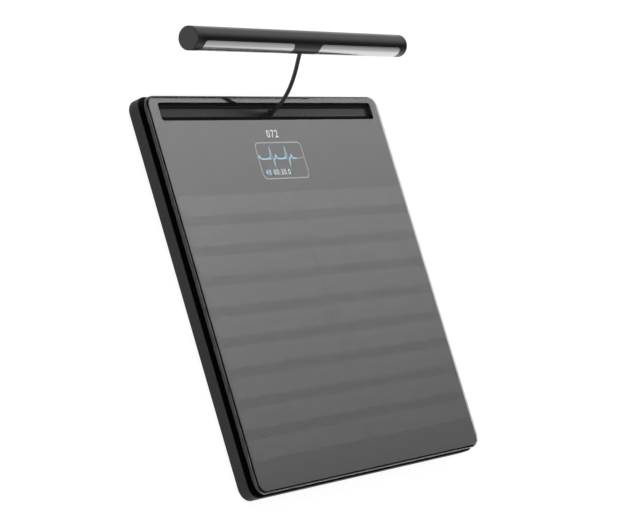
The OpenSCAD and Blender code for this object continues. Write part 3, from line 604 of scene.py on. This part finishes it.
def tube(name, path, radius, first, last, sides=20):
    """Round tube along a path: rings lie square to the path, and both ends are closed. The path sets
    out along first and ends along last."""
    d = np.gradient(path, axis=0)
    d[0] = first
    d[-1] = last
    d /= np.linalg.norm(d, axis=1)[:, None]
    aside = np.array([1.0, 0.05, 0.05])
    u = np.cross(d, aside)
    u /= np.linalg.norm(u, axis=1)[:, None]
    v = np.cross(d, u)
    a = np.linspace(0, 2 * np.pi, sides, endpoint=False)
    spokes = np.cos(a)[None, :, None] * u[:, None] + np.sin(a)[None, :, None] * v[:, None]
    rings = path[:, None] + radius * spokes
    points = np.vstack([rings.reshape(-1, 3), path[:1], path[-1:]])
    j = np.arange(sides)
    k = (j + 1) % sides
    last_ring = (len(path) - 1) * sides
    middle = len(path) * sides
    start_cap = np.column_stack([np.full(sides, middle), k, j])
    end_cap = np.column_stack([np.full(sides, middle + 1), last_ring + j, last_ring + k])
    faces = [*grid_faces(len(path), sides), *start_cap, *end_cap]
    made = mesh_piece(name, points, faces)
    made.data.set_sharp_from_angle(angle=math.radians(50))
    return made


def outlet_direction():
    return np.array([0.0, math.cos(OUTLET_ANGLE), math.sin(OUTLET_ANGLE)])


def outlet_place():
    middle = HANDLE_AXIS + np.array([OUTLET_OFFSET, 0, 0])
    return middle + (HANDLE_R - OUTLET_DEPTH) * outlet_direction()


def cord_path():
    """The cord's route in the frame: from the handle's outlet down into the grommet."""
    free = np.array(CORD_POINTS) * MM + np.array([0, PLATFORM_Y, GLASS_TOP])
    x, y = ((GROMMET_LOW + GROMMET_HIGH) / 2)[:2]
    low = [[x, y, GLASS_UNDER + GROMMET_RISE], [x, y, GLASS_UNDER]]
    return smooth_path(np.vstack([outlet_place(), free, low]), CORD_STEPS)


# Operators: one for each piece or group of like pieces

class MakeCord(bpy.types.Operator):
    """Make the free cord between the handle and the trough"""
    bl_idname = "bath_scale.make_cord"
    bl_label = "Cord"

    def execute(self, context):
        path = cord_path()[::-1]
        piece = tube("handle_cord", path, CORD_R, (0, 0, 1), -outlet_direction())
        jacket = rubbery("cord_jacket", "cord_rubber", (0.012, 0.012, 0.0125), 0.45, 2600.0)
        piece.data.materials.append(jacket.material)
        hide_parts("cord")
        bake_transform(piece)
        return {"FINISHED"}


class MakeBase(bpy.types.Operator):
    """Finish the base shell, the neck ring, the support frame and the side button"""
    bl_idname = "bath_scale.make_base"
    bl_label = "Base"

    def execute(self, context):
        looks = context.scene.plastic_looks
        # The shell's top is painted near-black as painted shade for the gap under the glass
        shell = moulded("base_plastic_satin", "base_plastic", looks.shell_colour, 0.5, gloss=0.15,
                        painted_shade_above=BASE_TOP - BASE_PAINTED_SHADE_BELOW_TOP)
        # Painted shade: the neck ring and the support frame are painted near-black, standing in for the
        # shade in the gap under the glass
        neck = moulded("neck_plastic_painted_shade", "frame_plastic", GAP_PAINTED_SHADE, 0.7, gloss=0.02)
        skinned("base_shell", "platform", shell)
        skinned("neck_ring", "platform", neck)
        dress("support_frame", neck)
        skinned("side_button", "button", shell)
        return {"FINISHED"}


class MakeGlass(bpy.types.Operator):
    """Finish the clear glass plate, and make the dark layer in it and the mirror film on its flat top"""
    bl_idname = "bath_scale.make_glass"
    bl_label = "Glass"

    def execute(self, context):
        looks = context.scene.glass_looks
        skinned("glass_plate", "platform", clear_glass(), 40.0)
        half = (GLASS_HIGH[0] - GLASS_LOW[0]) / 2
        core = self.plate("glass_dark_layer", half - looks.clear_rim, DARK_LAYER_SLOT_PLAY,
                          GLASS_UNDER + DARK_LAYER_ABOVE_UNDERSIDE, GLASS_TOP - DARK_LAYER_BELOW_TOP,
                          RIM_EXTRA_RIGHT)
        finish_piece(core, "platform", dark_print(looks.print_colour))
        film = self.plate("glass_film", half - EDGE_BAND, FILM_SLOT_PLAY,
                          GLASS_TOP + FILM_LIFT, GLASS_TOP + FILM_LIFT + FILM_THICKNESS)
        finish_piece(film, "platform", coating("mirror_film", "dark_glass", looks.film_strength))
        return {"FINISHED"}

    @staticmethod
    def plate(name, half, slot_play, low, high, short_right=0.0):
        """A square plate of a given half side, with the trough's opening made a little wider.
        Its right side may be moved in by short_right."""
        corner = GLASS_CORNER - ((GLASS_HIGH[0] - GLASS_LOW[0]) / 2 - half)
        slot_half = (CRADLE_HIGH[0] - CRADLE_LOW[0]) / 2 - CRADLE_FLANGE
        outline = rounded_loop(-short_right / 2, PLATFORM_Y, half - short_right / 2, half, corner)
        opening = rounded_loop(0, SLOT_Y, slot_half + slot_play, SLOT_WIDTH / 2 + slot_play, SLOT_CORNER)
        return flat_shape(name, [outline, opening[::-1]], low, high)


class MakeFootElectrodes(bpy.types.Operator):
    """Finish the coated electrode bars on the glass"""
    bl_idname = "bath_scale.make_foot_electrodes"
    bl_label = "Foot electrodes"

    def execute(self, context):
        bars = coating("electrode_coating", "electrode_film", context.scene.glass_looks.coating_strength)
        for side in ("left", "right"):
            piece = skinned("foot_electrodes_" + side, "platform", bars)
            hold_within(piece.data, 2, low=GLASS_TOP + BAR_LIFT)
        return {"FINISHED"}


# What the display shows: sizes in millimetres on the glass, from the platform's middle
FRAME_LEFT, FRAME_RIGHT, FRAME_FRONT, FRAME_REAR = -38.3, 26.7, 88.2, 120.3
FRAME_LINE = 1.0
FRAME_CORNER = 5.5
BASELINE = 105.7
TRACE_START, TRACE_SWITCH, TRACE_END = -37.5, 15.4, 26.0
BEATS = (-19.4, 1.9)
# One heartbeat round its tall spike: a small wave, the spike, the dip and the last round wave
BEAT_SHAPE = [(-5.6, 0), (-4.0, 0.9), (-2.6, 0.2), (-1.7, 0), (0, 9.8), (1.9, -6.4), (3.2, 0.2), (4.6, 0.2),
              (6.4, 3.3), (8.2, 0.1)]
LEAD_IN = [(TRACE_START, 0.6), (TRACE_START + 1.8, 3.0), (TRACE_START + 3.8, 0)]
LEAD_OUT = [(TRACE_SWITCH, 0), (TRACE_END - 5.0, 0), (TRACE_END - 3.0, 0.9), (TRACE_END, 0)]
AHEAD_THINNESS = 0.8
AHEAD_DIMNESS = 0.6
# Each figure's piece, its words, size and lower left corner, and whether it has the trace's colour
FIGURES = [
    ("pulse_figure", "072", 9.4, -17.2, 124.3, False),
    ("count_figure", "48", 6.6, -33.2, 92.0, True),
    ("count_total_figure", "00:30.0", 6.6, -22.6, 92.0, False),
]
FIGURE_SPACING = 1.22
FIGURE_BOLDNESS = 0.009


class MakeDisplay(bpy.types.Operator):
    """Make the lit frame, the heart trace and the figures that show through the glass"""
    bl_idname = "bath_scale.make_display"
    bl_label = "Display"

    def execute(self, context):
        looks = context.scene.display_looks
        blue = glowing("trace_light", looks.trace_colour)
        grey = glowing("trace_ahead_light", scaled(looks.frame_colour, AHEAD_DIMNESS))
        white = glowing("figure_light", looks.text_colour)
        finish_piece(self.lit_frame(), "platform", glowing("frame_light", looks.frame_colour))
        drawn = LEAD_IN + [(beat + x, y) for beat in BEATS for x, y in BEAT_SHAPE] + LEAD_OUT[:1]
        finish_piece(self.line("heart_trace", drawn, looks.line_width), "platform", blue)
        ahead = self.line("heart_trace_ahead", LEAD_OUT, looks.line_width * AHEAD_THINNESS)
        finish_piece(ahead, "platform", grey)
        for name, words, size, x, y, coloured in FIGURES:
            finish_piece(self.figure(name, words, size * MM, x, y), "platform", blue if coloured else white)
        return {"FINISHED"}

    @staticmethod
    def heights():
        """The lower and upper height of the lit shapes, just under the top of the glass."""
        return GLASS_TOP - DISPLAY_LOW_BELOW_TOP, GLASS_TOP - DISPLAY_HIGH_BELOW_TOP

    @staticmethod
    def on_glass(points):
        """Places in metres of points in millimetres from the platform's middle."""
        return np.array(points, float) * MM + np.array([0, PLATFORM_Y])

    def lit_frame(self):
        """The rounded frame, as the area between two outlines that lie a line's width apart."""
        cx, cy = (FRAME_LEFT + FRAME_RIGHT) / 2, (FRAME_FRONT + FRAME_REAR) / 2
        hx, hy = (FRAME_RIGHT - FRAME_LEFT) / 2, (FRAME_REAR - FRAME_FRONT) / 2
        inner_corner = FRAME_CORNER - FRAME_LINE
        outer = self.on_glass(rounded_loop(cx, cy, hx, hy, FRAME_CORNER))
        inner = self.on_glass(rounded_loop(cx, cy, hx - FRAME_LINE, hy - FRAME_LINE, inner_corner))
        return flat_shape("display_frame", [outer, inner[::-1]], *self.heights())

    def line(self, name, points, width):
        """A lit line through points given by their place along X and their height over the baseline."""
        places = self.on_glass([(x, y + BASELINE) for x, y in points])
        return ribbon(name, places, width, *self.heights())

    def figure(self, name, words, size, x, y):
        """Plain figures as flat letters of a given size, with their lower left corner at a place."""
        low, high = self.heights()
        place = self.on_glass([(x, y)])[0]
        text = bpy.data.curves.new(name, "FONT")
        text.body = words
        text.size = size
        text.extrude = (high - low) / 2
        text.offset = size * FIGURE_BOLDNESS
        text.space_character = FIGURE_SPACING
        return flat_mesh(name, text, (place[0], place[1], (low + high) / 2))


class MakeTrough(bpy.types.Operator):
    """Finish the trough, its magnets and the grommet of the cord"""
    bl_idname = "bath_scale.make_trough"
    bl_label = "Trough"

    def execute(self, context):
        # Lines across Y that bound the painted shade along the trough's front and rear
        front = SLOT_Y - SLOT_WIDTH / 2 + TROUGH_SHADE_FRONT
        rear = SLOT_Y + SLOT_WIDTH / 2 - TROUGH_SHADE_REAR
        trough = trough_with_painted_shade((0.006, 0.006, 0.0062), front, rear)
        ring = rubbery("grommet_rubber", "cord_rubber", (0.008, 0.008, 0.008), 0.5)
        skinned("handle_cradle", "platform", trough)
        skinned("cord_grommet", "platform", ring)
        dress("dock_magnets", plain_metal("magnet_plating", "magnet", (0.66, 0.66, 0.68), 0.2))
        return {"FINISHED"}


class MakeHandle(bpy.types.Operator):
    """Finish the handle's tube, its end caps and the ring round the cord's outlet"""
    bl_idname = "bath_scale.make_handle"
    bl_label = "Handle"

    def execute(self, context):
        looks = context.scene.plastic_looks
        tube_finish = moulded("handle_plastic_satin", "handle_plastic", looks.handle_colour, 0.30, 3000.0)
        cap_finish = moulded("cap_plastic_satin", "cap_plastic", scaled(looks.handle_colour, 1.5), 0.38)
        skinned("handle_shell", "handle", tube_finish, 30.0)
        skinned("handle_cap_left", "handle", cap_finish)
        skinned("handle_cap_right", "handle", cap_finish)
        relief = rubbery("relief_rubber", "cord_rubber", (0.008, 0.008, 0.008), 0.5)
        skinned("cord_strain_relief", "handle", relief)
        return {"FINISHED"}


class MakeGrips(bpy.types.Operator):
    """Finish the four curved metal plates that the hands hold"""
    bl_idname = "bath_scale.make_grips"
    bl_label = "Hand electrodes"

    def execute(self, context):
        steel = brushed("grip_steel_brushed", "grip_steel", context.scene.plastic_looks.steel_colour)
        for row in ("front", "rear"):
            for side in ("left", "right"):
                skinned(f"grip_{row}_{side}", "handle", steel, 30.0)
        return {"FINISHED"}


class MakeFeet(bpy.types.Operator):
    """Finish the four feet with their cups, the load cells and the screws"""
    bl_idname = "bath_scale.make_feet"
    bl_label = "Feet"

    def execute(self, context):
        looks = context.scene.plastic_looks
        rubber = rubbery("foot_rubber_matt", "foot_rubber", looks.rubber_colour)
        cup = moulded("cup_plastic", "frame_plastic", (0.014, 0.014, 0.015), 0.45)
        steel = plain_metal("screw_steel", "spring_steel", (0.5, 0.5, 0.51), 0.3)
        for corner in ("front_left", "front_right", "rear_left", "rear_right"):
            skinned("foot_pad_" + corner, "platform", rubber)
            skinned("foot_cup_" + corner, "platform", cup)
            dress("load_cell_" + corner, steel)
        dress("base_screws", steel)
        dress("reel_screws", steel)
        return {"FINISHED"}


class MakePort(bpy.types.Operator):
    """Finish the charging port"""
    bl_idname = "bath_scale.make_port"
    bl_label = "Charging port"

    def execute(self, context):
        skinned("usb_port", "platform", plain_metal("port_steel", "spring_steel", (0.55, 0.55, 0.56), 0.28))
        return {"FINISHED"}


class MakeInside(bpy.types.Operator):
    """Finish the reel, the boards, the switch and the battery inside the base and the handle"""
    bl_idname = "bath_scale.make_inside"
    bl_label = "Inside"

    def execute(self, context):
        inner = moulded("inner_plastic_matt", "frame_plastic", (0.015, 0.015, 0.016), 0.5)
        board = board_finish()
        brass = plain_metal("contact_brass_bright", "contact_brass", (0.75, 0.56, 0.25), 0.25)
        jacket = rubbery("inner_cord_jacket", "cord_rubber", (0.014, 0.014, 0.0145), 0.5)
        for node in ("cord_guide", "reel_housing", "reel_cover"):
            dress(node, inner)
        switch = skinned("button_switch", "platform", inner)
        hold_within(switch.data, 0, high=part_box("side_button")[0][0] - PLUNGER_SET_BACK)
        for node in ("main_board", "side_board", "handle_board"):
            dress(node, board)
        for node in ("brush_contacts", "slip_ring"):
            dress(node, brass)
        for node in ("cord_winding", "cord_run"):
            dress(node, jacket)
        dress("reel_drum", moulded("drum_plastic_white", "drum_plastic", (0.55, 0.55, 0.53), 0.4))
        dress("reel_spring", brushed("spring_steel_blue", "spring_steel", (0.42, 0.44, 0.48)))
        dress("display_module", moulded("display_panel_black", "display_panel", (0.012, 0.012, 0.013), 0.2))
        dress("battery_pack", wrap_finish())
        dress("handle_magnets", plain_metal("handle_magnet_plating", "magnet", (0.66, 0.66, 0.68), 0.2))
        return {"FINISHED"}


# The floor, in metres
FLOOR_HALF_SIDE = 30.0
FLOOR_DROP = 0.2 * MM

# The studio's light by direction, in degrees. Azimuths run from +X towards +Y and heights from the
# horizon up. Each pair is the stretch over which a softbox or panel comes up or dies away.
WALL_TOP = (40, 46)
SOFTBOX_FADE = (-2, 28)
SOFTBOX_LEAST = 0.38
SOFTBOX_FROM, SOFTBOX_TO = (-10, 26), (70, 95)
FRONT_RIGHT_FROM, FRONT_RIGHT_TO = (-65, -50), (-29, -26)
FRONT_RIGHT_STRENGTH = 0.66
LEFT_REAR_FROM, LEFT_REAR_TO = (105, 125), (130, 150)
LEFT_REAR_STRENGTH = 0.3
FRONT_FROM, FRONT_TO = (-150, -130), (-80, -60)
FRONT_STRENGTH = 0.4
PANEL_BESIDE = (130, 150)
PANEL_FROM, PANEL_TO = (8, 22), (50, 60)
ROOM_GLOW = 0.05


class MakeStage(bpy.types.Operator):
    """Make the floor, the studio light and the photograph's camera"""
    bl_idname = "bath_scale.make_stage"
    bl_label = "Stage"

    def execute(self, context):
        looks = context.scene.stage_looks
        self.camera(context.scene)
        self.floor(looks)
        self.world(context.scene, looks)
        context.scene.view_settings.view_transform = "Standard"
        return {"FINISHED"}

    @staticmethod
    def camera(scene):
        """Camera at the photograph's place: aimed by azimuth and dip, then rolled about its own axis."""
        azimuth, dip, roll = (math.radians(v) for v in (CAMERA_AZIMUTH, CAMERA_DIP, CAMERA_ROLL))
        flat = math.cos(dip)
        forward = Vector((math.cos(azimuth) * flat, math.sin(azimuth) * flat, -math.sin(dip)))
        level = forward.cross(Vector((0, 0, 1))).normalized()
        upright = level.cross(forward)
        right = math.cos(roll) * level + math.sin(roll) * upright
        up = right.cross(forward)
        data = bpy.data.cameras.new("photo_camera")
        data.sensor_fit = "HORIZONTAL"
        data.sensor_width = SENSOR_WIDTH
        data.lens = CAMERA_LENS
        data.clip_start = CAMERA_NEAREST
        data.clip_end = CAMERA_FARTHEST
        made = bpy.data.objects.new("photo_camera", data)
        turn = Matrix((right, up, -forward)).transposed().to_4x4()
        made.matrix_world = Matrix.Translation(Vector(CAMERA_PLACE)) @ turn
        scene.collection.objects.link(made)
        scene.camera = made

    @staticmethod
    def floor(looks):
        """A wide pale floor that also glows a little, so that shadows on it stay faint."""
        side, low = FLOOR_HALF_SIDE, -FLOOR_DROP
        corners = np.array([(-side, -side, low), (side, -side, low), (side, side, low), (-side, side, low)])
        made = mesh_piece("studio_floor", corners, [(0, 1, 2, 3)], smooth=False)
        sheet = Sheet(new_tree(made, "studio_floor_paint"))
        shade = (looks.floor_albedo,) * 3 + (1,)
        paint = sheet.node("ShaderNodeBsdfDiffuse", None, {"Color": shade})
        glow = sheet.node("ShaderNodeEmission", None, {"Strength": looks.floor_glow})
        both = sheet.node("ShaderNodeAddShader", None, {0: paint, 1: glow})
        sheet.node("ShaderNodeOutputMaterial", None, {"Surface": both})

    @staticmethod
    def world(scene, looks):
        """Studio light by direction: a tall softbox that fades towards the floor, a bright panel above
        the camera and weaker softboxes on the other sides. The camera itself sees plain white."""
        world = bpy.data.worlds.new("studio_light")
        world.use_nodes = True
        scene.world = world
        sheet = Sheet(world.node_tree)
        place = sheet.node("ShaderNodeTexCoord", out=0)
        split = sheet.node("ShaderNodeSeparateXYZ", None, {"Vector": place})
        x, y, z = (Signal(sheet, split.socket.node.outputs[k]) for k in range(3))
        azimuth = y.apply("ARCTAN2", x) * (180 / math.pi)
        height = z.apply("ARCSINE") * (180 / math.pi)
        wall = 1 - height.step(*WALL_TOP)
        fade = height.step(*SOFTBOX_FADE) * (1 - SOFTBOX_LEAST) + SOFTBOX_LEAST

        def box(start, end):
            """1 on the wall between two azimuths."""
            return azimuth.step(*start) * (1 - azimuth.step(*end)) * wall

        light = box(SOFTBOX_FROM, SOFTBOX_TO) * fade * looks.softbox
        light = light + box(FRONT_RIGHT_FROM, FRONT_RIGHT_TO) * FRONT_RIGHT_STRENGTH
        light = light + box(LEFT_REAR_FROM, LEFT_REAR_TO) * LEFT_REAR_STRENGTH
        light = light + box(FRONT_FROM, FRONT_TO) * FRONT_STRENGTH
        beside = azimuth.apply("ABSOLUTE").step(*PANEL_BESIDE)
        panel = beside * height.step(*PANEL_FROM) * (1 - height.step(*PANEL_TO))
        light = light + panel * looks.back + ROOM_GLOW
        path = sheet.node("ShaderNodeLightPath", out=0)
        strength = path + (1 - path) * light
        sky = sheet.node("ShaderNodeBackground", None, {"Strength": strength})
        sheet.node("ShaderNodeOutputWorld", None, {"Surface": sky})


def new_tree(piece, name):
    material = bpy.data.materials.new(name)
    material.use_nodes = True
    piece.data.materials.append(material)
    return material.node_tree


class ScalePanel(bpy.types.Panel):
    """Buttons that dress the bathroom scale, piece by piece"""
    bl_idname = "VIEW3D_PT_bath_scale"
    bl_label = "Bathroom scale"
    bl_space_type = "VIEW_3D"
    bl_region_type = "UI"
    bl_category = "Scale"

    def draw(self, context):
        for looks in ("glass_looks", "display_looks", "plastic_looks", "stage_looks"):
            group = getattr(context.scene, looks)
            for name in group.__annotations__:
                self.layout.prop(group, name)
        for step in STEPS:
            self.layout.operator(step.bl_idname)


STEPS = (MakeStage, MakeCord, MakeBase, MakeGlass, MakeFootElectrodes, MakeDisplay, MakeTrough,
         MakeHandle, MakeGrips, MakeFeet, MakePort, MakeInside)
LOOKS = {"glass_looks": GlassLooks, "display_looks": DisplayLooks, "plastic_looks": PlasticLooks,
         "stage_looks": StageLooks}


def register():
    for name, group in LOOKS.items():
        bpy.utils.register_class(group)
        setattr(bpy.types.Scene, name, bpy.props.PointerProperty(type=group))
    for item in (*STEPS, ScalePanel):
        bpy.utils.register_class(item)


def unregister():
    for item in (ScalePanel, *reversed(STEPS)):
        bpy.utils.unregister_class(item)
    for name, group in LOOKS.items():
        delattr(bpy.types.Scene, name)
        bpy.utils.unregister_class(group)


def main():
    register()
    for step in STEPS:
        getattr(bpy.ops.bath_scale, step.bl_idname.split(".")[1])()


if __name__ == "__main__":
    main()
